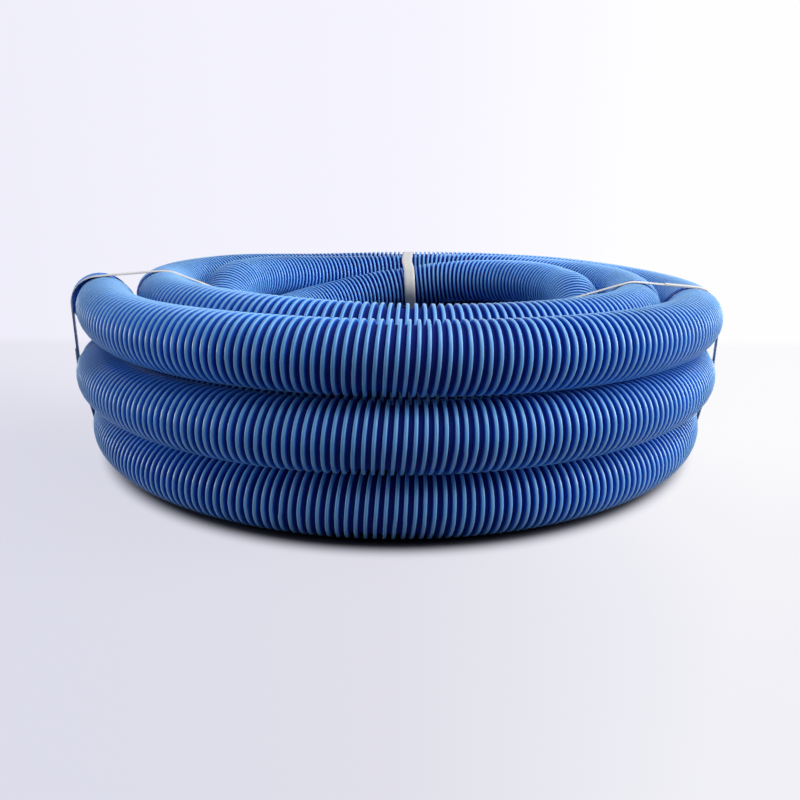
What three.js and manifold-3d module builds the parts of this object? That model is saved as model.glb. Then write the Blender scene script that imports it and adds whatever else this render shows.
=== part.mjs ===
// A ribbed pool vacuum hose, wound in three layers and tied with three flat straps.
// Millimetres, +Z up. The coil stands on its lowest turns, with its axis upright.
import * as THREE from 'three';
import { mergeVertices } from 'three/addons/utils/BufferGeometryUtils.js';
import Module from 'manifold-3d';

const wasm = await Module();
wasm.setup();

// ---- Hose ----
const HOSE_DIAMETER = 46; // over the ribs
const RIB_HEIGHT = 3.4;
const WALL = 0.6; // between the bore and the ribs' valleys
const RIB_PITCH = 5.5;
const RIB_COUNT = 74; // true ribs, from the outer end round the front; the rest runs plain over them
const RIBS_PER_BORE_RING = 5;
const MOUTH_FLARE = 1.5; // how far the cut end opens beyond the last ribs
const MOUTH_FLARE_LENGTH = 8;

// ---- Coil ----
const TURN_GAP = 0.6; // between touching turns
const TOP_RADIUS = 259.3; // centreline of each layer's outermost turn
const MIDDLE_RADIUS = 262.6;
const BOTTOM_RADIUS = 255.3;
const LOWER_SHIFT = -3.1; // how far the two lower layers stand to the left of the top one
const TOP_LEAN = 0.006; // the top layer stands higher on the left, in mm per mm
const SECOND_TURN_RISE = 2; // the top layer's inner turns ride above its outer one
const LEFT_LIFT = 5; // how much higher they ride at the back left
const LEFT_SPREAD = 2.2; // and how far the second turn stands out there
const BACK_LIFT = 3.5; // how much higher each turn of the top layer rides at the back right
const THIRD_TURN_DIP = 21; // where the third turn sinks between the left strap and the right
const CORE_DROP = 28; // how far the innermost turn falls from right to left across the back
const CORE_SPREAD = 0.7; // extra room between the innermost turn and the third
const CROSSING_DIP = 7; // where the middle layer passes below the innermost turn
const MOUTH_SPREAD = 5.5; // the free end stands out by this
const MOUTH_SPRING = 3.7; // and up by this
const FLAT_DEPTH = 0.5; // the lowest turns are pressed flat on the floor
const OUTER_END_TURN = 0.0455; // in turns from the coil's left, anticlockwise from above
const INNER_END_TURN = 7.5;

// ---- Straps ----
const STRAP_WIDTH = 12;
const STRAP_THICKNESS = 0.7;
const STRAP_CLEARANCE = 0.3; // to the hose, all round
const STRAP_LIFT = 0.1; // above the floor, under the lowest turns
const LAP_LENGTH = 33; // where a strap's two ends are welded on each other
const LEFT_STRAP_AZIMUTH = 198.5;
const RIGHT_STRAP_AZIMUTH = 341.5;
const BACK_STRAP_AZIMUTH = 87.5;

// ---- Facets ----
const SIDES = 8;
const STEPS_PER_TURN = 24;
const GAP_STEPS_PER_TURN = 96;

const hoseRadius = HOSE_DIAMETER / 2;
const valleyRadius = hoseRadius - RIB_HEIGHT;
const boreRadius = valleyRadius - WALL;
const turnPitch = HOSE_DIAMETER + TURN_GAP;
const layerRise = turnPitch;
const leanRise = TOP_LEAN * TOP_RADIUS;
const bottomHeight = hoseRadius - FLAT_DEPTH;
const topHeight = bottomHeight + 2 * layerRise + leanRise;
const coreRadius = TOP_RADIUS - 3 * turnPitch - CORE_SPREAD;
const middleInnerRadius = MIDDLE_RADIUS - 2 * turnPitch;

const ease = (x) => {
  const s = THREE.MathUtils.clamp(x, 0, 1);
  return s * s * (3 - 2 * s);
};

// Each move shifts the route sideways or up while the turn count goes from one value to another.
// A turn begins at the coil's left, and its first half runs round the front.
const radialMoves = [
  [OUTER_END_TURN, 0.056, -MOUTH_SPREAD],
  [0.5, 1, -turnPitch],
  [0.9, 1, LEFT_SPREAD],
  [1.04, 1.058, -LEFT_SPREAD],
  [1.5, 2, -turnPitch],
  [2.5, 3, -turnPitch - CORE_SPREAD],
  [3.5, 3.8, middleInnerRadius - coreRadius],
  [3.833, 4, turnPitch],
  [4.833, 5, turnPitch],
  [5.8, 6, BOTTOM_RADIUS - MIDDLE_RADIUS],
  [6.5, 6.667, -turnPitch],
];
const LAYER_CHANGE = [2.95, 3.15]; // where the route leaves the top layer
const verticalMoves = [
  [OUTER_END_TURN, 0.14, -MOUTH_SPRING],
  [0.5, 1, SECOND_TURN_RISE],
  [0.5, 0.64, BACK_LIFT],
  [0.68, 0.86, -BACK_LIFT],
  [0.8, 0.93, LEFT_LIFT],
  [1.05, 1.3, -LEFT_LIFT],
  [1.43, 1.53, BACK_LIFT],
  [1.64, 1.8, -BACK_LIFT],
  [1.8, 1.93, LEFT_LIFT],
  [1.96, 2.08, -LEFT_LIFT - THIRD_TURN_DIP],
  [2.43, 2.515, THIRD_TURN_DIP],
  [2.5, 2.58, BACK_LIFT],
  [2.66, 2.85, -BACK_LIFT],
  [2.58, 2.95, -CORE_DROP],
  [...LAYER_CHANGE, CORE_DROP - SECOND_TURN_RISE - leanRise - layerRise],
  [3.45, 3.65, -CROSSING_DIP],
  [3.77, 3.9, CROSSING_DIP],
  [5.667, 5.833, -layerRise],
];

const moved = (moves, turn) =>
  moves.reduce((sum, [from, to, by]) => sum + by * ease((turn - from) / (to - from)), 0);

// The centreline at a turn count: its azimuth, its radius and height there, and its coil's centre.
function route(turn) {
  const azimuth = Math.PI * (1 + 2 * turn);
  const lower = ease((turn - LAYER_CHANGE[0]) / (LAYER_CHANGE[1] - LAYER_CHANGE[0]));
  const radius = TOP_RADIUS + MOUTH_SPREAD + moved(radialMoves, turn);
  const lean = -TOP_LEAN * radius * Math.cos(azimuth) * (1 - lower);
  const height = topHeight + MOUTH_SPRING + moved(verticalMoves, turn) + lean;
  return { azimuth, radius, height, centre: LOWER_SHIFT * lower };
}

function routePoint(turn) {
  const { azimuth, radius, height, centre } = route(turn);
  return new THREE.Vector3(
    centre + radius * Math.cos(azimuth),
    radius * Math.sin(azimuth),
    height,
  );
}

// The turn count that lies a given length further along the route.
const advance = (turn, length) => turn + length / (2 * Math.PI * route(turn).radius);

// One ring of the tube's skin, in the upright plane through the coil's axis.
// Its flats face in, out, up and down, and its inscribed circle has the given radius.
function ring(turn, inscribed) {
  const { azimuth, radius, height, centre } = route(turn);
  const corner = inscribed / Math.cos(Math.PI / SIDES);
  return Array.from({ length: SIDES }, (_, i) => {
    const angle = ((i + 0.5) * 2 * Math.PI) / SIDES;
    const out = radius + corner * Math.cos(angle);
    return [
      centre + out * Math.cos(azimuth),
      out * Math.sin(azimuth),
      height + corner * Math.sin(angle),
    ];
  });
}

function mouthFlare(lengthFromEnd) {
  return MOUTH_FLARE * (1 - ease(lengthFromEnd / MOUTH_FLARE_LENGTH));
}

// The skin and the bore as lists of rings: ribs at their true pitch first, then plain steps.
function hoseRings() {
  const skin = [];
  const bore = [];
  let turn = OUTER_END_TURN;
  for (let rib = 0; rib < RIB_COUNT; rib++) {
    const flare = mouthFlare(rib * RIB_PITCH);
    const crest = rib === 0 ? turn : advance(turn, RIB_PITCH / 4);
    skin.push(ring(crest, hoseRadius + flare));
    skin.push(ring(advance(turn, (3 * RIB_PITCH) / 4), valleyRadius + flare));
    const nearMouth = (rib - 1) * RIB_PITCH < MOUTH_FLARE_LENGTH;
    if (nearMouth || rib % RIBS_PER_BORE_RING === 0) {
      bore.push(ring(turn, boreRadius + flare));
    }
    turn = advance(turn, RIB_PITCH);
  }
  const plainStart = turn;
  const firstStep = Math.ceil(plainStart * STEPS_PER_TURN + 0.25);
  const lastStep = Math.round(INNER_END_TURN * STEPS_PER_TURN);
  const turns = [plainStart];
  for (let step = firstStep; step <= lastStep; step++) {
    turns.push(step / STEPS_PER_TURN);
  }
  for (const plain of turns) {
    skin.push(ring(plain, hoseRadius));
    bore.push(ring(plain, boreRadius));
  }
  return { skin, bore };
}

// A closed tube wall: the skin, the bore turned inside out, and a flat ring at each end.
function tubeWall({ skin, bore }) {
  const rings = [...skin, ...bore];
  const positions = rings.flat(2);
  const index = [];
  const corner = (ringNumber, i) => ringNumber * SIDES + (i % SIDES);
  const band = (near, far) => {
    for (let i = 0; i < SIDES; i++) {
      const a = corner(near, i);
      const b = corner(near, i + 1);
      const c = corner(far, i + 1);
      const d = corner(far, i);
      index.push(a, c, b, a, d, c);
    }
  };
  for (let k = 0; k + 1 < skin.length; k++) {
    band(k, k + 1);
  }
  band(skin.length - 1, rings.length - 1);
  for (let k = rings.length - 1; k > skin.length; k--) {
    band(k, k - 1);
  }
  band(skin.length, 0);
  const geometry = new THREE.BufferGeometry();
  geometry.setAttribute('position', new THREE.Float32BufferAttribute(positions, 3));
  geometry.setIndex(index);
  return geometry;
}

function toSolid(geometry) {
  const bare = geometry.clone();
  bare.deleteAttribute('normal');
  bare.deleteAttribute('uv');
  const merged = mergeVertices(bare, 1e-4);
  const mesh = new wasm.Mesh({
    numProp: 3,
    vertProperties: new Float32Array(merged.attributes.position.array),
    triVerts: new Uint32Array(merged.index.array),
  });
  return new wasm.Manifold(mesh);
}

function toGeometry(solid) {
  const mesh = solid.getMesh();
  const geometry = new THREE.BufferGeometry();
  geometry.setAttribute('position', new THREE.BufferAttribute(mesh.vertProperties, 3));
  geometry.setIndex(new THREE.BufferAttribute(mesh.triVerts, 1));
  geometry.computeVertexNormals();
  return geometry;
}

// ---- Strap outlines, as points of radius and height in a strap's upright plane ----

const turnsAt = (azimuth) => {
  const first = (azimuth - 180 + 360) % 360 / 360;
  const turns = [];
  for (let turn = first; turn <= INNER_END_TURN; turn++) {
    if (turn >= OUTER_END_TURN) {
      turns.push(turn);
    }
  }
  return turns;
};

// The hose's corners where it crosses a strap's plane.
function crossings(azimuth) {
  const corner = (hoseRadius + STRAP_CLEARANCE) / Math.cos(Math.PI / SIDES);
  const across = Math.cos(THREE.MathUtils.degToRad(azimuth));
  return turnsAt(azimuth).flatMap((turn) => {
    const { radius, height, centre } = route(turn);
    return Array.from({ length: SIDES }, (_, i) => {
      const angle = ((i + 0.5) * 2 * Math.PI) / SIDES;
      const floor = STRAP_LIFT + STRAP_THICKNESS;
      const up = height + corner * Math.sin(angle);
      return new THREE.Vector2(
        radius + centre * across + corner * Math.cos(angle),
        Math.max(up, floor),
      );
    });
  });
}

// The tightest outline round a set of points, anticlockwise.
function tightOutline(points) {
  const sorted = [...points].sort((a, b) => a.x - b.x || a.y - b.y);
  const turnsLeft = (a, b, c) => (b.x - a.x) * (c.y - a.y) - (b.y - a.y) * (c.x - a.x) > 1e-6;
  const half = (list) => {
    const chain = [];
    for (const point of list) {
      while (chain.length > 1 && !turnsLeft(chain.at(-2), chain.at(-1), point)) {
        chain.pop();
      }
      chain.push(point);
    }
    return chain.slice(0, -1);
  };
  return [...half(sorted), ...half(sorted.reverse())];
}

// The same outline moved outward by a distance, with its corners kept.
function offsetOutline(outline, distance) {
  const count = outline.length;
  const outward = (a, b) => new THREE.Vector2(b.y - a.y, a.x - b.x).normalize();
  return outline.map((point, i) => {
    const before = outward(outline[(i + count - 1) % count], point);
    const after = outward(point, outline[(i + 1) % count]);
    const mitre = before.clone().add(after).normalize();
    return point.clone().addScaledVector(mitre, distance / mitre.dot(after));
  });
}

// A band of a given width between two outlines, stood in its plane.
function standBand(inner, outer, width, azimuth) {
  const shape = new THREE.Shape(outer);
  shape.holes.push(new THREE.Path(inner));
  const geometry = new THREE.ExtrudeGeometry(shape, { depth: width, bevelEnabled: false });
  geometry.translate(0, 0, -width / 2);
  geometry.rotateX(Math.PI / 2);
  geometry.rotateZ(THREE.MathUtils.degToRad(azimuth));
  return toSolid(geometry);
}

// The space where a strap's ends lap, as a box in the strap's own plane:
// over the top of the outermost turn, or outside the middle layer.
function lapSpace(outline, lapSide, azimuth) {
  const onTop = lapSide === 'top';
  const highest = Math.max(...outline.map((point) => point.y));
  const outermost = Math.max(...outline.map((point) => point.x));
  const across = onTop ? LAP_LENGTH : 2 * turnPitch;
  const tall = onTop ? 2 * layerRise : LAP_LENGTH;
  const block = new THREE.BoxGeometry(across, 2 * STRAP_WIDTH, tall);
  const radius = onTop ? TOP_RADIUS + (LAP_LENGTH - turnPitch) / 2 : outermost;
  const height = onTop ? highest : bottomHeight + layerRise;
  block.translate(radius, 0, height);
  block.rotateZ(THREE.MathUtils.degToRad(azimuth));
  return toSolid(block);
}

function makeStrap(azimuth, lapSide) {
  const inner = tightOutline(crossings(azimuth));
  const outer = offsetOutline(inner, STRAP_THICKNESS);
  const band = standBand(inner, outer, STRAP_WIDTH, azimuth);
  const lapInner = offsetOutline(inner, STRAP_THICKNESS / 2);
  const lapOuter = offsetOutline(inner, 2 * STRAP_THICKNESS);
  const lapBand = standBand(lapInner, lapOuter, STRAP_WIDTH, azimuth);
  const solid = band.add(lapBand.intersect(lapSpace(inner, lapSide, azimuth)));
  const seatInner = offsetOutline(inner, -STRAP_CLEARANCE);
  const seatOuter = offsetOutline(inner, 2 * STRAP_THICKNESS + turnPitch);
  const seat = standBand(seatInner, seatOuter, STRAP_WIDTH + 2 * STRAP_CLEARANCE, azimuth);
  return { solid, seat };
}

// ---- The pieces ----

const straps = {
  strap_left: makeStrap(LEFT_STRAP_AZIMUTH, 'outside'),
  strap_right: makeStrap(RIGHT_STRAP_AZIMUTH, 'top'),
  strap_back: makeStrap(BACK_STRAP_AZIMUTH, 'outside'),
};

function makeHose() {
  const floorSize = 4 * (MIDDLE_RADIUS + HOSE_DIAMETER);
  const floor = new THREE.BoxGeometry(floorSize, floorSize, HOSE_DIAMETER);
  floor.translate(0, 0, -HOSE_DIAMETER / 2);
  let solid = toSolid(tubeWall(hoseRings())).subtract(toSolid(floor));
  for (const { seat } of Object.values(straps)) {
    solid = solid.subtract(seat);
  }
  return solid;
}

// The least gap between two turns of the hose, measured at matched places round the coil.
function leastGap() {
  let least = Infinity;
  for (let step = 0; step < GAP_STEPS_PER_TURN; step++) {
    const turns = turnsAt((step / GAP_STEPS_PER_TURN) * 360);
    for (const [i, turn] of turns.entries()) {
      for (const other of turns.slice(i + 1)) {
        const a = route(turn);
        const b = route(other);
        const acrossShift = (a.centre - b.centre) * Math.cos(a.azimuth);
        const out = Math.abs(a.radius - b.radius + acrossShift);
        const up = Math.abs(a.height - b.height);
        const apart = Math.max(out, up, (out + up) / Math.SQRT2);
        least = Math.min(least, apart - HOSE_DIAMETER);
      }
    }
  }
  return least;
}

function routeLength() {
  let length = 0;
  const steps = Math.round(INNER_END_TURN * GAP_STEPS_PER_TURN);
  let last = routePoint(OUTER_END_TURN);
  for (let step = 1; step <= steps; step++) {
    const turn = THREE.MathUtils.lerp(OUTER_END_TURN, INNER_END_TURN, step / steps);
    const next = routePoint(turn);
    length += next.distanceTo(last);
    last = next;
  }
  return length;
}

console.log(`hose length ${routeLength().toFixed(0)} mm`);
console.log(`least gap between turns ${leastGap().toFixed(2)} mm`);

const hoseMaterial = new THREE.MeshStandardMaterial({
  color: 0x2f6fd0,
  roughness: 0.42,
  metalness: 0,
});
const strapColor = 0xebe8e2;
const strapRoughness = 0.5;

const coil = new THREE.Group();

function addPiece(name, solid, material) {
  const mesh = new THREE.Mesh(toGeometry(solid), material);
  mesh.name = name;
  coil.add(mesh);
}

addPiece('hose', makeHose(), hoseMaterial);
for (const [name, { solid }] of Object.entries(straps)) {
  const material = new THREE.MeshStandardMaterial({
    color: strapColor,
    roughness: strapRoughness,
    metalness: 0,
  });
  addPiece(name, solid, material);
}

// The origin is on the floor, under the middle of the coil's outline.
const outline = new THREE.Box3().setFromObject(coil);
const middle = outline.getCenter(new THREE.Vector3());
coil.position.set(-middle.x, -middle.y, 0);

export default coil;
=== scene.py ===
"""Looks for a coiled pool vacuum hose: its ribbed skin, three tie straps and a pale studio."""
import math

import bpy
import numpy as np
from mathutils import Matrix, Vector


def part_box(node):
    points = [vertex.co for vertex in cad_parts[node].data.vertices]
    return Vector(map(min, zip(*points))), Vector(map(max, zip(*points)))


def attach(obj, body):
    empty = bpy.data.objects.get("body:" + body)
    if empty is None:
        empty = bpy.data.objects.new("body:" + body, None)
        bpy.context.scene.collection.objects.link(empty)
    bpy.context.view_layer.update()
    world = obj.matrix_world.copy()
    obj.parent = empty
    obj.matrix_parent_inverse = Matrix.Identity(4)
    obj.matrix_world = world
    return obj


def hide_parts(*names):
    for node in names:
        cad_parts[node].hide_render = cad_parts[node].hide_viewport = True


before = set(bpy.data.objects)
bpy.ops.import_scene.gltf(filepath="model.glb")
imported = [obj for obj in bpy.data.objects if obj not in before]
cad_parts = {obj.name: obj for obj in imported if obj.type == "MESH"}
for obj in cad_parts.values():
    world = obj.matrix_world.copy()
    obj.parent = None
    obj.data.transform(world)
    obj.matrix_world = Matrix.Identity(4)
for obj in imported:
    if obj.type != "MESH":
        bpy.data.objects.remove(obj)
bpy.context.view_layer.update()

MM = 0.001  # in metres

# ---- Hose, in millimetres ----
HOSE_DIAMETER = 46
RIB_HEIGHT = 3.4
WALL = 0.6
RIB_PITCH = 5.5
MOUTH_FLARE = 1.5
MOUTH_FLARE_LENGTH = 8

# ---- Coil: the same route as the solid's, in millimetres and in turns counted from the left ----
TURN_GAP = 0.6
TOP_RADIUS = 259.3
MIDDLE_RADIUS = 262.6
BOTTOM_RADIUS = 255.3
LOWER_SHIFT = -3.1
TOP_LEAN = 0.006
SECOND_TURN_RISE = 2
LEFT_LIFT = 5
LEFT_SPREAD = 2.2
BACK_LIFT = 3.5
THIRD_TURN_DIP = 21
CORE_DROP = 28
CORE_SPREAD = 0.7
CROSSING_DIP = 7
MOUTH_SPREAD = 5.5
MOUTH_SPRING = 3.7
FLAT_DEPTH = 0.5
OUTER_END_TURN = 0.0455
INNER_END_TURN = 7.5

# ---- Straps, in millimetres, and their directions from the coil's axis in degrees ----
STRAP_WIDTH = 12
STRAP_THICKNESS = 0.7
LAP_LENGTH = 33
STRAPS = {"strap_left": 198.5, "strap_right": 341.5, "strap_back": 87.5}
BACK_STRAP_LEAN = 12
LEAN_LOST_AT_TOP = 0.6  # of the lean
LEANING_LIFT = 1.0  # how much higher the strap lies where it leans
FULL_LIFT_LEAN = 3  # the lean from which it lies so high

hose_radius = HOSE_DIAMETER / 2
valley_radius = hose_radius - RIB_HEIGHT
bore_radius = valley_radius - WALL
turn_pitch = HOSE_DIAMETER + TURN_GAP
layer_rise = turn_pitch
lean_rise = TOP_LEAN * TOP_RADIUS
bottom_height = hose_radius - FLAT_DEPTH
top_height = bottom_height + 2 * layer_rise + lean_rise
core_radius = TOP_RADIUS - 3 * turn_pitch - CORE_SPREAD
middle_inner_radius = MIDDLE_RADIUS - 2 * turn_pitch

# Each move: its first turn, its last turn and its size.
RADIAL_MOVES = [
    (OUTER_END_TURN, 0.056, -MOUTH_SPREAD),
    (0.5, 1, -turn_pitch),
    (0.9, 1, LEFT_SPREAD),
    (1.04, 1.058, -LEFT_SPREAD),
    (1.5, 2, -turn_pitch),
    (2.5, 3, -turn_pitch - CORE_SPREAD),
    (3.5, 3.8, middle_inner_radius - core_radius),
    (3.833, 4, turn_pitch),
    (4.833, 5, turn_pitch),
    (5.8, 6, BOTTOM_RADIUS - MIDDLE_RADIUS),
    (6.5, 6.667, -turn_pitch),
]
# The hose leaves the top layer for the middle one between these turns.
LAYER_CHANGE = (2.95, 3.15)
VERTICAL_MOVES = [
    (OUTER_END_TURN, 0.14, -MOUTH_SPRING),
    (0.5, 1, SECOND_TURN_RISE),
    (0.5, 0.64, BACK_LIFT),
    (0.68, 0.86, -BACK_LIFT),
    (0.8, 0.93, LEFT_LIFT),
    (1.05, 1.3, -LEFT_LIFT),
    (1.43, 1.53, BACK_LIFT),
    (1.64, 1.8, -BACK_LIFT),
    (1.8, 1.93, LEFT_LIFT),
    (1.96, 2.08, -LEFT_LIFT - THIRD_TURN_DIP),
    (2.43, 2.515, THIRD_TURN_DIP),
    (2.5, 2.58, BACK_LIFT),
    (2.66, 2.85, -BACK_LIFT),
    (2.58, 2.95, -CORE_DROP),
    (*LAYER_CHANGE, CORE_DROP - SECOND_TURN_RISE - lean_rise - layer_rise),
    (3.45, 3.65, -CROSSING_DIP),
    (3.77, 3.9, CROSSING_DIP),
    (5.667, 5.833, -layer_rise),
]

# The middle layer reaches farthest left and forward, so it says where the route lies in the frame.
low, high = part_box("hose")
shift = np.array([
    low.x / MM - (LOWER_SHIFT - MIDDLE_RADIUS - hose_radius),
    low.y / MM + MIDDLE_RADIUS + hose_radius,
    0.0,
])


def ease(x):
    """A smooth rise from 0 at 0 to 1 at 1."""
    s = np.clip(x, 0, 1)
    return s * s * (3 - 2 * s)


def moved(moves, turn):
    """How far the moves have gone at a turn count."""
    return sum(by * ease((turn - start) / (end - start)) for start, end, by in moves)


def route(turn):
    """Azimuth, radius, height and the centre's shift at a turn count."""
    turn = np.asarray(turn, float)
    azimuth = math.pi * (1 + 2 * turn)
    lower = ease((turn - LAYER_CHANGE[0]) / (LAYER_CHANGE[1] - LAYER_CHANGE[0]))
    radius = TOP_RADIUS + MOUTH_SPREAD + moved(RADIAL_MOVES, turn)
    lean = -TOP_LEAN * radius * np.cos(azimuth) * (1 - lower)
    height = top_height + MOUTH_SPRING + moved(VERTICAL_MOVES, turn) + lean
    return azimuth, radius, height, LOWER_SHIFT * lower


def route_points(turn):
    """The centreline's places at a turn count, in the frame."""
    azimuth, radius, height, centre = route(turn)
    flat = [centre + radius * np.cos(azimuth), radius * np.sin(azimuth), height]
    return np.stack(flat, -1) + shift


# The route as a table of turns, places and lengths along the hose.
TABLE_STEPS = 30000
table_turns = np.linspace(OUTER_END_TURN, INNER_END_TURN, TABLE_STEPS + 1)
table_points = route_points(table_turns)
table_steps = np.linalg.norm(np.diff(table_points, axis=0), axis=1)
table_lengths = np.concatenate([[0], np.cumsum(table_steps)])
hose_length = float(table_lengths[-1])


def turn_at(length):
    """The turn count at a length along the hose."""
    return np.interp(length, table_lengths, table_turns)


def frames_at(length, turn_step=1e-4):
    """Places on the centreline, with the tube's directions along, outward and upward there."""
    turn = turn_at(length)
    place = route_points(turn)
    along = route_points(turn + turn_step) - route_points(turn - turn_step)
    along /= np.linalg.norm(along, axis=-1, keepdims=True)
    outward = np.cross(along, [0.0, 0.0, 1.0])
    outward /= np.linalg.norm(outward, axis=-1, keepdims=True)
    upward = np.cross(outward, along)
    return place, along, outward, upward


def strap_lean(node, radius, height):
    """How far a strap stands off its upright plane: the back one leans inside the coil."""
    if node != "strap_back":
        return 0.0
    inward = ease((middle_inner_radius - radius) / turn_pitch)
    return -BACK_STRAP_LEAN * inward * (1 - LEAN_LOST_AT_TOP * height / top_height)


# How far from a strap's middle the ribs stay fully pressed, and over what length they recover.
PRESSED_REACH = 0.45 * STRAP_WIDTH
PRESSED_FADE = 0.75 * STRAP_WIDTH


def strap_nearness(turn):
    """1 under a strap, and 0 past the length over which the ribs recover."""
    azimuth, radius, height, _ = route(turn)
    near = np.zeros_like(turn)
    for node, angle in STRAPS.items():
        apart = (np.degrees(azimuth) - angle + 180) % 360 - 180
        for side in (-hose_radius, 0, hose_radius):
            lean = strap_lean(node, radius + side, height)
            off = np.abs(np.radians(apart) * radius - lean)
            near = np.maximum(near, 1 - ease((off - PRESSED_REACH) / PRESSED_FADE))
    return near


# ---- Hose mesh ----
SIDES = 32
# One rib from valley to valley: share of the pitch, share of the rib's height, and the painted
# highlight on its rounded corners.
RIB_PROFILE = np.array([
    (0.222, 0.00, 0),
    (0.254, 0.16, 0),
    (0.298, 0.74, 0),
    (0.326, 0.93, 0.45),
    (0.382, 1.00, 0.5),
    (0.500, 1.00, 0),
    (0.618, 1.00, 0.5),
    (0.674, 0.93, 0.45),
    (0.702, 0.74, 0),
    (0.746, 0.16, 0),
    (0.778, 0.00, 0),
])
RIB_TILT = math.radians(1.0)
RIB_UNEVENNESS = 0.018  # of the pitch
PINCHED_RIB = 0.7  # of a rib's height, left under a strap
MOUTH_RIB = 0.9  # of a rib's height, even all over at a cut end
MOUTH_FADE = 1.6  # pitches from a cut end to the first full rib
MOUTH_WALL = 1.5
LIP_ROUND = 0.4
BORE_STEP = 14.0
BORE_END_STEP = 2.5
BORE_END_LENGTH = 60
# Tones of lip and bore, on the scale that runs from 0 in a valley to 1 on a rib.
LIP_TONE = 0.35
BORE_TONE = 0.2
# The map: strips one above the other, with margins, as shares of a strip and of the map.
SKIN_STRIPS = 20
STRIP_MARGIN, STRIP_FILL = 0.04, 0.92
MAP_MARGIN, MAP_FILL = 0.004, 0.992
JUST_UNDER_ONE = 0.99999
rng = np.random.default_rng(7)
ribs = int(hose_length / RIB_PITCH)
pitch = hose_length / ribs
theta = np.arange(SIDES) * 2 * math.pi / SIDES


def new_object(name, vertices, faces):
    """A smooth mesh object, from vertices in millimetres and faces of four corners."""
    faces = np.asarray(faces, np.int32)
    mesh = bpy.data.meshes.new(name)
    mesh.vertices.add(len(vertices))
    mesh.vertices.foreach_set("co", (np.asarray(vertices) * MM).astype(np.float32).ravel())
    mesh.loops.add(faces.size)
    mesh.loops.foreach_set("vertex_index", faces.ravel())
    mesh.polygons.add(len(faces))
    mesh.polygons.foreach_set("loop_start", np.arange(len(faces), dtype=np.int32) * 4)
    mesh.polygons.foreach_set("use_smooth", np.ones(len(faces), bool))
    mesh.update(calc_edges=True)
    piece = bpy.data.objects.new(name, mesh)
    bpy.context.scene.collection.objects.link(piece)
    return piece


def quads(*corners):
    """One row of four for each face, from a grid for each of its corners."""
    return np.stack(corners, -1).reshape(-1, 4)


def strip_map(along, turned, strips, first):
    """Where faces lie on a map: the length is cut into strips, laid one above the other.

    Along runs from 0 to 1 over the whole length, turned from 0 to 1 round the tube.
    """
    strip = np.floor(along[:, :1] * strips * JUST_UNDER_ONE)
    across = along * strips - strip
    up = (first + strip + STRIP_MARGIN + STRIP_FILL * turned) / (SKIN_STRIPS + 1)
    return np.stack([MAP_MARGIN + MAP_FILL * across, up], -1)


def set_attribute(piece, name, values):
    layer = piece.data.attributes.new(name, "FLOAT", "POINT")
    layer.data.foreach_set("value", np.asarray(values, np.float32))


def mouth_flare(length):
    """1 at both cut ends, which open a little, and 0 away from them."""
    from_end = np.minimum(length, hose_length - length)
    return 1 - ease(from_end / MOUTH_FLARE_LENGTH)


def around(length, radius):
    """Points of the tube at lengths along it, one column for each side."""
    place, _, outward, upward = frames_at(length)
    point = place + radius[..., None] * (
        np.cos(theta)[None, :, None] * outward + np.sin(theta)[None, :, None] * upward
    )
    point[..., 2] = np.maximum(point[..., 2], 0.0)
    return point


def ribbed_skin():
    """The outer skin: one rib wound as a helix, from mouth to mouth."""
    rows = np.arange(-2, ribs + 2)
    along = ((rows[:, None] + RIB_PROFILE[None, :, 0]) * pitch).ravel()
    share = np.tile(RIB_PROFILE[:, 1], len(rows))
    # The third column is a painted highlight: paler colour on the crest's rounded corners, where
    # the side lamps would glint.
    edge = np.tile(RIB_PROFILE[:, 2], len(rows))
    # Slight unevenness from rib to rib, as in moulded and cooled plastic.
    uneven = np.repeat(rng.normal(0, RIB_UNEVENNESS, len(rows)), len(RIB_PROFILE)) * pitch
    tilt = hose_radius * np.sin(theta) * math.tan(RIB_TILT)
    helix = pitch * theta / (2 * math.pi) + tilt
    length = (along + uneven)[:, None] + helix[None, :]
    inside = np.clip(length, 0, hose_length)
    squeeze = strap_nearness(turn_at(inside))
    from_end = np.minimum(inside, hose_length - inside)
    fade = ease(from_end / (MOUTH_FADE * pitch))
    rib = share[:, None] * (1 - (1 - PINCHED_RIB) * squeeze)
    rib = rib * fade + MOUTH_RIB * (1 - fade)
    radius = valley_radius + RIB_HEIGHT * rib + MOUTH_FLARE * mouth_flare(inside)
    point = around(inside, radius)
    rings, step = len(along), len(RIB_PROFILE)
    j, i = np.indices((rings - 1, SIDES))
    wrap = i + 1 == SIDES  # the last side of one pitch joins the first side of the next
    a = j * SIDES + i
    d = a + SIDES
    b = np.where(wrap, (j + step) * SIDES, a + 1)
    c = np.where(wrap, (j + 1 + step) * SIDES, d + 1)
    faces = quads(a, b, c, d)
    passed = quads(j, j, j + 1, j + 1) / (rings - 1)
    turned = quads(i, i + 1, i + 1, i) / SIDES
    whole = (faces < rings * SIDES).all(1)
    where = length.ravel()[np.where(whole[:, None], faces, 0)]
    kept = whole & (where.max(1) > 0) & (where.min(1) < hose_length)
    used, faces = np.unique(faces[kept], return_inverse=True)
    spots = strip_map(passed[kept], turned[kept], SKIN_STRIPS, 0)
    edge = np.repeat(edge, SIDES)[used]
    return point.reshape(-1, 3)[used], faces.reshape(-1, 4), rib.ravel()[used], edge, spots


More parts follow.
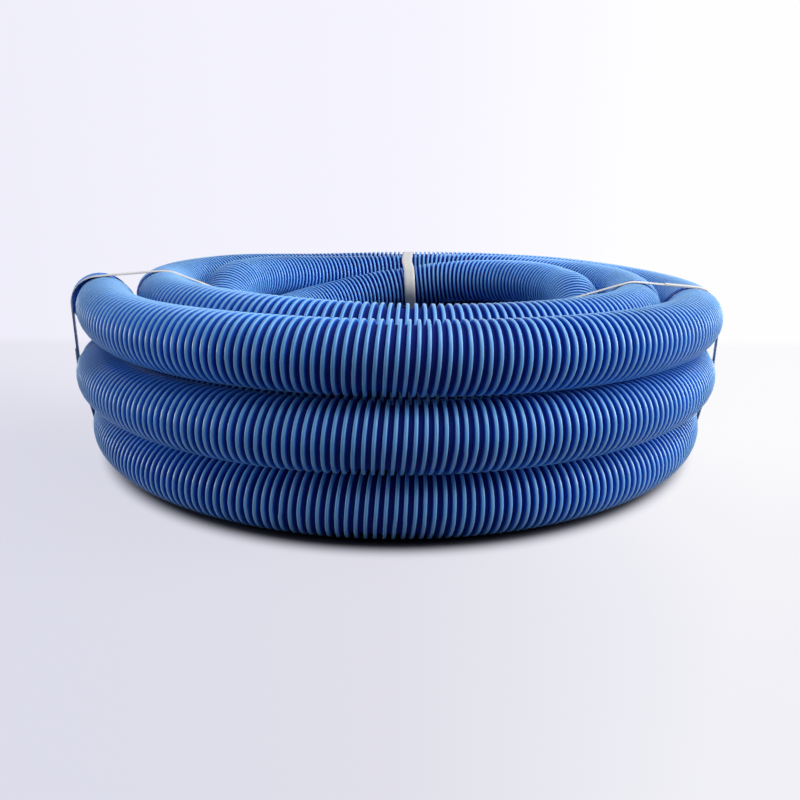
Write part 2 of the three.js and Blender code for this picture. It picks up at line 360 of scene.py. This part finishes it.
def bore_and_lips():
    """From the outer skin's edge over the rounded lip, through the bore and out again."""
    outer = valley_radius + MOUTH_RIB * RIB_HEIGHT + MOUTH_FLARE
    inner = outer - MOUTH_WALL
    depths = np.concatenate([
        np.arange(0, BORE_END_LENGTH, BORE_END_STEP),
        np.arange(BORE_END_LENGTH, hose_length / 2, BORE_STEP),
    ])
    bore = bore_radius + (inner - bore_radius) * mouth_flare(depths)
    lip = [(0, outer), (-LIP_ROUND, outer - LIP_ROUND), (-LIP_ROUND, inner + LIP_ROUND)]
    profile = np.array(lip + list(zip(depths, bore)))
    profile = np.concatenate([profile, (profile * [-1, 1] + [hose_length, 0])[::-1]])
    # Past the ends the lip goes straight on from the last ring.
    inside = np.clip(profile[:, 0], 0, hose_length)
    point = around(inside[:, None], np.repeat(profile[:, 1:], SIDES, 1))
    direction = frames_at(inside)[1]
    point += ((profile[:, 0] - inside)[:, None] * direction)[:, None, :]
    rings = len(profile)
    j, i = np.indices((rings - 1, SIDES))
    a, b = j * SIDES + i, j * SIDES + (i + 1) % SIDES
    faces = quads(a, a + SIDES, b + SIDES, b)
    passed = quads(j, j + 1, j + 1, j) / (rings - 1)
    turned = quads(i, i, i + 1, i + 1) / SIDES
    spots = strip_map(passed, turned, 1, SKIN_STRIPS)
    on_lip = np.minimum(profile[:, 0], hose_length - profile[:, 0]) <= 0
    tone = np.repeat(np.where(on_lip, LIP_TONE, BORE_TONE), SIDES)
    return point.reshape(-1, 3), faces, tone, spots


skin_points, skin_faces, skin_depth, skin_highlight, skin_spots = ribbed_skin()
bore_points, bore_faces, bore_depth, bore_spots = bore_and_lips()
hose = new_object(
    "hose_ribbed",
    np.concatenate([skin_points, bore_points]),
    np.concatenate([skin_faces, bore_faces + len(skin_points)]),
)
set_attribute(hose, "depth", np.concatenate([skin_depth, bore_depth]))
# The painted highlight on the ribs' corners; none in the bore.
set_attribute(hose, "edge", np.concatenate([skin_highlight, np.zeros(len(bore_points))]))
spots = np.concatenate([skin_spots, bore_spots])
hose.data.uv_layers.new(name="OFBake").data.foreach_set("uv", spots.astype(np.float32).ravel())


# ---- Strap meshes ----
STRAP_SPACING = 1.5
STRAP_FLOOR_GAP = 0.05
OUTLINE_SIDES = 96
BAND_REACH = 0.7 * STRAP_WIDTH  # from a strap's middle to a little past its edges
SWAY, FINE_SWAY = 0.35, 0.2
RIGHT_LAP_INSET = 6  # inward from the first turn's centreline
LAP_SWAY = 0.4


def tight_outline(points, least_bend=1e-9):
    """The tightest outline round points, anticlockwise."""
    points = points[np.lexsort((points[:, 1], points[:, 0]))]

    def half(run):
        chain = []
        for x, y in run:
            while len(chain) > 1:
                (ax, ay), (bx, by) = chain[-2:]
                if (bx - ax) * (y - ay) - (by - ay) * (x - ax) > least_bend:
                    break
                chain.pop()
            chain.append((x, y))
        return chain[:-1]

    return np.array(half(points) + half(points[::-1]))


def strap_line(azimuth):
    """A strap's closed centreline, as evenly spaced points of radius and height."""
    first = (azimuth - 180) % 360 / 360
    turns = np.arange(first, INNER_END_TURN, 1.0)
    turns = turns[turns >= OUTER_END_TURN]
    # A turn that climbs under the band touches it at one edge, so both sides count too.
    reach = BAND_REACH / (2 * math.pi * route(turns)[1])
    turns = np.concatenate([turns - reach, turns, turns + reach])
    _, radius, height, centre = route(np.clip(turns, OUTER_END_TURN, INNER_END_TURN))
    angle = np.linspace(0, 2 * math.pi, OUTLINE_SIDES, endpoint=False)
    clear = valley_radius + PINCHED_RIB * RIB_HEIGHT + STRAP_THICKNESS / 2
    across = radius + centre * math.cos(math.radians(azimuth))
    circles = np.stack([
        across[:, None] + clear * np.cos(angle),
        height[:, None] + clear * np.sin(angle),
    ], -1).reshape(-1, 2)
    circles[:, 1] = np.maximum(circles[:, 1], STRAP_THICKNESS / 2 + STRAP_FLOOR_GAP)
    outline = tight_outline(circles)
    closed = np.vstack([outline, outline[:1]])
    steps = np.linalg.norm(np.diff(closed, axis=0), axis=1)
    run = np.concatenate([[0], np.cumsum(steps)])
    even = np.linspace(0, run[-1], int(run[-1] / STRAP_SPACING), endpoint=False)
    return np.stack([np.interp(even, run, closed[:, k]) for k in (0, 1)], -1)


# A band's section: share of its width, and share of its thickness, all round.
BAND_SECTION = np.array([
    (-0.5, 0.25), (-0.48, 0.5), (-0.25, 0.5), (0, 0.5), (0.25, 0.5), (0.48, 0.5),
    (0.5, 0.25), (0.5, -0.25), (0.48, -0.5), (0, -0.5), (-0.48, -0.5), (-0.5, -0.25),
])


def band(line, outward, azimuth, lift, closed, sway):
    """A flat band along a line, lifted off it outward and swayed out of its upright plane."""
    angle = math.radians(azimuth)
    out = np.array([math.cos(angle), math.sin(angle), 0])
    side = np.array([-math.sin(angle), math.cos(angle), 0])
    up = np.array([0.0, 0.0, 1.0])
    place = line[:, :1] * out + line[:, 1:] * up + shift
    face = outward[:, :1] * out + outward[:, 1:] * up
    wide = BAND_SECTION[:, 0] * STRAP_WIDTH
    thick = BAND_SECTION[None, :, 1] * STRAP_THICKNESS + np.reshape(lift, (-1, 1))
    points = (
        place[:, None]
        + (wide[None, :, None] + sway[:, None, None]) * side
        + thick[..., None] * face[:, None]
    )
    rings, sides = len(line), len(BAND_SECTION)
    j, i = np.indices((rings if closed else rings - 1, sides))
    after = (j + 1) % rings
    a, b = j * sides + i, j * sides + (i + 1) % sides
    c, d = after * sides + (i + 1) % sides, after * sides + i
    return points.reshape(-1, 3), quads(a, b, c, d)


def lap_middle(node, line):
    """The number of the point under the middle of a strap's lap."""
    radius, height = line.T
    if node == "strap_right":
        off = np.abs(radius - TOP_RADIUS + RIGHT_LAP_INSET)
        fits = height >= top_height
    else:
        off = np.abs(height - bottom_height - layer_rise)
        fits = radius > middle_inner_radius
    return np.argmin(np.where(fits, off, np.inf))


def make_strap(node, azimuth):
    """One strap: the closed band, with its free end lapped on it."""
    line = strap_line(azimuth)
    along = np.roll(line, -1, 0) - np.roll(line, 1, 0)
    along /= np.linalg.norm(along, axis=1, keepdims=True)
    outward = np.stack([along[:, 1], -along[:, 0]], -1)
    run = np.arange(len(line)) / len(line) * 2 * math.pi
    sway = SWAY * np.sin(run + azimuth) + FINE_SWAY * np.sin(3 * run + 2 * azimuth)
    lean = strap_lean(node, line[:, 0], line[:, 1])
    sway = sway + lean
    # Where it leans it lies on ribs that stand a little higher than in its own plane.
    leaning = np.minimum(1, np.abs(lean) / FULL_LIFT_LEAN)
    lift = LEANING_LIFT * leaning * ease(line[:, 1] / hose_radius)
    points, faces = band(line, outward, azimuth, lift, True, sway)
    # The lap: the free end lies on the band, on top of the right strap or outside the others.
    half = int(LAP_LENGTH / 2 / STRAP_SPACING)
    pick = (lap_middle(node, line) + np.arange(-half, half + 1)) % len(line)
    lap_points, lap_faces = band(
        line[pick], outward[pick], azimuth, STRAP_THICKNESS, False, sway[pick] + LAP_SWAY
    )
    piece = new_object(
        node + "_band",
        np.concatenate([points, lap_points]),
        np.concatenate([faces, lap_faces + len(points)]),
    )
    rings = (len(points) + len(lap_points)) // len(BAND_SECTION)
    set_attribute(piece, "across", np.tile(BAND_SECTION[:, 0], rings))
    return piece


straps = {node: make_strap(node, azimuth) for node, azimuth in STRAPS.items()}


# ---- Materials ----
def new_material(name):
    """A material with one plastic shader, and what is needed to build on it."""
    material = bpy.data.materials.new(name)
    material.use_nodes = True
    nodes = material.node_tree.nodes
    nodes.clear()
    output = nodes.new("ShaderNodeOutputMaterial")
    shader = nodes.new("ShaderNodeBsdfPrincipled")
    material.node_tree.links.new(shader.outputs[0], output.inputs[0])
    return material, nodes, material.node_tree.links, shader


def ramp(nodes, links, source, stops):
    """Colours by a value, from stops of position and colour."""
    node = nodes.new("ShaderNodeValToRGB")
    elements = node.color_ramp.elements
    while len(elements) < len(stops):
        elements.new(0.5)
    for element, (position, color) in zip(elements, stops):
        element.position = position
        element.color = (*color, 1)
    links.new(source, node.inputs[0])
    return node.outputs[0]


def grey(value):
    return (value, value, value)


def feed(links, source, socket):
    """Give a socket another socket's value, or a colour of its own."""
    if isinstance(source, tuple):
        socket.default_value = (*source, 1)
    else:
        links.new(source, socket)


def mix(nodes, links, factor, a, b):
    """Colour a where the factor is 0, and b where it is 1."""
    node = nodes.new("ShaderNodeMix")
    node.data_type = "RGBA"
    links.new(factor, node.inputs["Factor"])
    feed(links, a, node.inputs["A"])
    feed(links, b, node.inputs["B"])
    return node.outputs["Result"]


def attribute(nodes, name):
    node = nodes.new("ShaderNodeAttribute")
    node.attribute_name = name
    return node.outputs["Fac"]


def hose_material():
    """Blue that is darkest in the valleys, partly a darker wall and partly painted shade, with
    painted highlights on the ribs' corners and soft clouds.
    """
    material, nodes, links, shader = new_material("hose_blue_plastic")
    depth = attribute(nodes, "depth")
    # Darker towards the valleys: partly a darker wall, and partly painted shade in the grooves and
    # down the flanks.
    by_depth = ramp(nodes, links, depth, [
        (0.0, (0.002, 0.016, 0.22)),
        (0.2, (0.002, 0.038, 0.42)),
        (0.74, (0.02, 0.21, 0.9)),
        (1.0, (0.095, 0.43, 1.0)),
    ])
    # Painted highlight: the ribs' rounded corners are painted pale, as if they caught the side
    # lamps.
    highlighted = mix(nodes, links, attribute(nodes, "edge"), by_depth, (0.4, 0.72, 1.0))
    clouds = nodes.new("ShaderNodeTexNoise")
    clouds.inputs["Scale"].default_value = 22.0
    clouds.inputs["Detail"].default_value = 4.0
    clouds.inputs["Roughness"].default_value = 0.55
    place = nodes.new("ShaderNodeTexCoord").outputs["Object"]
    links.new(place, clouds.inputs["Vector"])
    tone = ramp(nodes, links, clouds.outputs["Fac"], [(0.3, grey(0.9)), (0.7, grey(1.08))])
    toned = nodes.new("ShaderNodeMix")
    toned.data_type = "RGBA"
    toned.blend_type = "MULTIPLY"
    toned.inputs["Factor"].default_value = 1.0
    links.new(highlighted, toned.inputs["A"])
    links.new(tone, toned.inputs["B"])
    links.new(toned.outputs["Result"], shader.inputs["Base Color"])
    rough = ramp(nodes, links, depth, [(0.0, grey(0.9)), (0.7, grey(0.5)), (0.95, grey(0.28))])
    links.new(rough, shader.inputs["Roughness"])
    shader.inputs["Specular IOR Level"].default_value = 0.35
    return material


def strap_material():
    """Warm white with a fine grain that runs lengthwise."""
    material, nodes, links, shader = new_material("strap_white_plastic")
    lines = nodes.new("ShaderNodeTexNoise")
    lines.noise_dimensions = "1D"
    lines.inputs["Scale"].default_value = 26.0
    lines.inputs["Detail"].default_value = 2.0
    links.new(attribute(nodes, "across"), lines.inputs["W"])
    tone = ramp(nodes, links, lines.outputs["Fac"], [
        (0.3, (0.74, 0.73, 0.7)),
        (0.7, (0.86, 0.85, 0.83)),
    ])
    links.new(tone, shader.inputs["Base Color"])
    bump = nodes.new("ShaderNodeBump")
    bump.inputs["Strength"].default_value = 0.25
    bump.inputs["Distance"].default_value = 0.0002
    links.new(lines.outputs["Fac"], bump.inputs["Height"])
    links.new(bump.outputs[0], shader.inputs["Normal"])
    shader.inputs["Roughness"].default_value = 0.38
    return material


hose.data.materials.append(hose_material())
white = strap_material()
for piece in straps.values():
    piece.data.materials.append(white)

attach(hose, "root")
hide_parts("hose")
for node, piece in straps.items():
    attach(piece, "root")
    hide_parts(node)


# ---- Studio, in metres ----
FLOOR_HALF_WIDTH = 4.0
FLOOR_FRONT = -4.0
FLOOR_BACK = 1.0
BACKDROP_CURVE = 0.6
BACKDROP_TOP = 3.0
# The shade reaches less far out at the sides than in front, so distances are stretched sideways.
SIDE_STRETCH = (1.047, 1, 1)
# Distances from the coil's middle: the painted contact shade ends between the first two, and
# the open paper's glow, with painted shade in its tones, begins between the other two.
CONTACT_SHADE = (0.264, 0.2905)
OPEN_PAPER = (0.2705, 0.2895)
# The share of the glow in the open paper, and where it turns into all of it behind the middle.
GLOW_NEAR_COIL = 0.9
BEHIND_COIL = (0.0, 0.4)
# The glow's tones run along lines of sight, each at its own slope to the side of the camera.
CAMERA_DISTANCE = 0.64
LEAST_DEPTH = 0.15
SIDEWAYS = (-0.6, 0.6)
# Where the near tones turn into the far ones, and how much nearer they do so at the right.
FAR_TONE = (-0.13, 0.24)
FAR_TONE_LEAN = 0.3
# Strength of the room's light on the object, and of the room as it is seen.
ROOM_LIGHT = 0.03
ROOM_SEEN = 0.9


def map_range(nodes, links, source, ends, smooth=False):
    """0 where the source is at the first end, and 1 at the second."""
    node = nodes.new("ShaderNodeMapRange")
    node.interpolation_type = "SMOOTHSTEP" if smooth else "LINEAR"
    node.inputs["From Min"].default_value, node.inputs["From Max"].default_value = ends
    links.new(source, node.inputs["Value"])
    return node.outputs["Result"]


def math_node(nodes, links, operation, *sources):
    """A calculation with sockets and numbers."""
    node = nodes.new("ShaderNodeMath")
    node.operation = operation
    for source, socket in zip(sources, node.inputs):
        if isinstance(source, float):
            socket.default_value = source
        else:
            links.new(source, socket)
    return node.outputs[0]


def seen_share(nodes, links):
    """1 for rays from the camera, in reflections and through clear parts; 0 for others."""
    rays = nodes.new("ShaderNodeLightPath").outputs
    bent = math_node(nodes, links, "MAXIMUM", rays["Is Glossy Ray"], rays["Is Transmission Ray"])
    return math_node(nodes, links, "MAXIMUM", rays["Is Camera Ray"], bent)


def floor_mesh():
    """A floor that curves up into a backdrop."""
    profile = [(FLOOR_FRONT, 0.0), (FLOOR_BACK, 0.0)]
    for angle in np.linspace(0.1, math.pi / 2, 12):
        back = FLOOR_BACK + BACKDROP_CURVE * math.sin(angle)
        profile.append((back, BACKDROP_CURVE - BACKDROP_CURVE * math.cos(angle)))
    profile.append((FLOOR_BACK + BACKDROP_CURVE, BACKDROP_TOP))
    sides = (-FLOOR_HALF_WIDTH, FLOOR_HALF_WIDTH)
    points = [(x / MM, y / MM, z / MM) for y, z in profile for x in sides]
    faces = [(2 * k, 2 * k + 1, 2 * k + 3, 2 * k + 2) for k in range(len(profile) - 1)]
    return new_object("studio_floor", np.array(points), faces)


def glow_with_painted_shade(nodes, links, x, y):
    """The open paper's glow, with painted shade: darker at the left and nearer the coil, brighter
    at the right and far behind.
    """
    depth = math_node(nodes, links, "ADD", y, CAMERA_DISTANCE)
    depth = math_node(nodes, links, "MAXIMUM", depth, LEAST_DEPTH)
    sideways = map_range(nodes, links, math_node(nodes, links, "DIVIDE", x, depth), SIDEWAYS)
    # Painted shade: both ramps run darker to the left, and the near one darker than the far, as
    # the light falls off from the right lamp and the coil shades the near paper.
    near = ramp(nodes, links, sideways, [
        (0.0, (0.75, 0.75, 0.86)),
        (0.5, (0.777, 0.77, 0.855)),
        (0.75, (0.837, 0.84, 0.905)),
        (1.0, (0.91, 0.91, 0.955)),
    ])
    far = ramp(nodes, links, sideways, [
        (0.0, (0.862, 0.856, 0.956)),
        (0.5, (0.913, 0.905, 1.0)),
        (0.8, (1.0, 0.99, 1.0)),
    ])
    lean = math_node(nodes, links, "MULTIPLY", sideways, FAR_TONE_LEAN)
    back = math_node(nodes, links, "ADD", y, lean)
    glow = nodes.new("ShaderNodeEmission")
    tone = mix(nodes, links, map_range(nodes, links, back, FAR_TONE, True), near, far)
    links.new(tone, glow.inputs["Color"])
    return glow.outputs[0]


def floor_material():
    """Paper that takes the object's shadow near it, with a painted contact shade close round the
    coil, and glows away from it with painted shade in the glow's tones.
    """
    material, nodes, links, shader = new_material("studio_paper")
    place = nodes.new("ShaderNodeTexCoord").outputs["Object"]
    split = nodes.new("ShaderNodeSeparateXYZ")
    links.new(place, split.inputs[0])
    x, y = split.outputs["X"], split.outputs["Y"]
    oval = nodes.new("ShaderNodeVectorMath")
    oval.operation = "MULTIPLY"
    links.new(place, oval.inputs[0])
    oval.inputs[1].default_value = SIDE_STRETCH
    length = nodes.new("ShaderNodeVectorMath")
    length.operation = "LENGTH"
    links.new(oval.outputs[0], length.inputs[0])
    distance = length.outputs["Value"]
    # What the hose sees of the floor is dimmer, so that its underside stays dark.
    seen = seen_share(nodes, links)
    paper = mix(nodes, links, seen, (0.2, 0.2, 0.24), (0.6, 0.6, 0.68))
    contact = map_range(nodes, links, distance, CONTACT_SHADE, True)
    shaded = mix(nodes, links, contact, (0.02, 0.02, 0.03), paper)
    links.new(shaded, shader.inputs["Base Color"])
    shader.inputs["Roughness"].default_value = 0.85
    shader.inputs["Specular IOR Level"].default_value = 0.0
    ring = map_range(nodes, links, distance, OPEN_PAPER, True)
    around_coil = math_node(nodes, links, "MULTIPLY", ring, GLOW_NEAR_COIL)
    behind = map_range(nodes, links, y, BEHIND_COIL, True)
    share = math_node(nodes, links, "MAXIMUM", around_coil, behind)
    blend = nodes.new("ShaderNodeMixShader")
    links.new(math_node(nodes, links, "MULTIPLY", share, seen), blend.inputs[0])
    links.new(shader.outputs[0], blend.inputs[1])
    links.new(glow_with_painted_shade(nodes, links, x, y), blend.inputs[2])
    links.new(blend.outputs[0], nodes["Material Output"].inputs[0])
    return material


floor = floor_mesh()
floor.data.materials.append(floor_material())


def area_light(name, place, target, size, power):
    """A softbox that the camera doesn't see, with its power in watts."""
    data = bpy.data.lights.new(name, "AREA")
    data.shape = "RECTANGLE"
    data.size, data.size_y = size
    data.energy = power
    lamp = bpy.data.objects.new(name, data)
    lamp.location = place
    lamp.visible_camera = False
    lamp.rotation_euler = (Vector(target) - Vector(place)).to_track_quat("-Z", "Y").to_euler()
    bpy.context.scene.collection.objects.link(lamp)


area_light("softbox_top", (0.5, -0.3, 1.15), (0.1, 0, 0.1), (1.1, 0.6), 10)
area_light("softbox_front", (0.3, -1.6, 1.1), (0, 0, 0.08), (1.2, 0.8), 0.3)
area_light("softbox_right", (2.2, -0.1, 0.8), (0, 0, 0.08), (1.0, 1.0), 40)
area_light("softbox_left", (-2.2, -0.15, 0.2), (0, 0, 0.08), (1.0, 0.8), 25)


def make_world():
    """A little soft light all round; the camera and reflections see a pale room."""
    world = bpy.data.worlds.new("studio_world")
    world.use_nodes = True
    nodes, links = world.node_tree.nodes, world.node_tree.links
    seen = seen_share(nodes, links)
    nodes["Background"].inputs[0].default_value = (0.93, 0.94, 1.0, 1)
    strength = map_range(nodes, links, seen, (0.0, 1.0))
    strength.node.inputs["To Min"].default_value = ROOM_LIGHT
    strength.node.inputs["To Max"].default_value = ROOM_SEEN
    links.new(strength, nodes["Background"].inputs[1])
    bpy.context.scene.world = world


make_world()

# ---- Camera, fitted to the edges of the turns ----
CAMERA = Vector((3.5, -639.2, 205.5)) * MM
CAMERA_PITCH = math.radians(16.72)
CAMERA_ROLL = math.radians(0.37)
FOCAL_PIXELS = 660.3
PICTURE_PIXELS = 800
SENSOR_WIDTH = 36  # in millimetres
camera_data = bpy.data.cameras.new("camera")
camera_data.sensor_width = SENSOR_WIDTH
camera_data.lens = FOCAL_PIXELS * SENSOR_WIDTH / PICTURE_PIXELS
camera_data.clip_start = 0.01
camera = bpy.data.objects.new("camera", camera_data)
tilt = Matrix.Rotation(math.pi / 2 - CAMERA_PITCH, 4, "X")
camera.matrix_world = Matrix.Translation(CAMERA) @ tilt @ Matrix.Rotation(CAMERA_ROLL, 4, "Z")
bpy.context.scene.collection.objects.link(camera)
bpy.context.scene.camera = camera
bpy.context.scene.view_settings.view_transform = "Standard"
